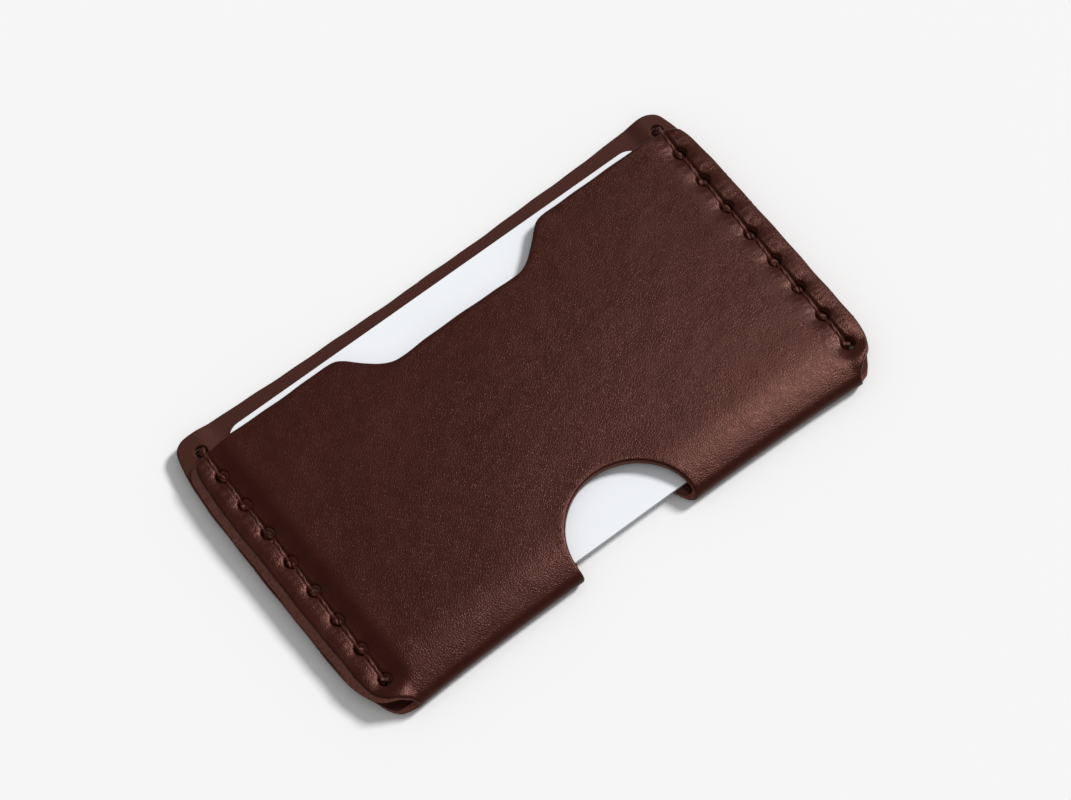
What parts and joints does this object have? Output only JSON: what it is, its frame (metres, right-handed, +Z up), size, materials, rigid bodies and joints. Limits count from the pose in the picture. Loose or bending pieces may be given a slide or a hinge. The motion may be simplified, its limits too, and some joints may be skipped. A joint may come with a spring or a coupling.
{
  "type": "minimalist wallet",
  "caption": "Slim folded leather card wallet with saddle-stitched sides, a notched mouth, a thumb notch in the fold and one blank white card.",
  "frame": {"origin": "middle of the underside of the wallet as it lies on its back", "axes": "+X along the fold to the right, +Y from the fold to the mouth, +Z up out of the front panel"},
  "size_m": [0.1038, 0.061, 0.0046],
  "materials": {
    "brown_leather": "smooth waxed, burnished edges",
    "waxed_thread": "twisted, waxed",
    "white_card": "satin"
  },
  "bodies": {
    "wallet": {"leather_body": "brown_leather", "left_stitching": "waxed_thread", "right_stitching": "waxed_thread"},
    "held_card": {"card": "white_card"}
  },
  "joints": [
    {"name": "card_slide", "type": "slide", "parent": "wallet", "child": "held_card", "axis": [0, 1, 0], "range_m": [-0.0006, 0.052]}
  ]
}
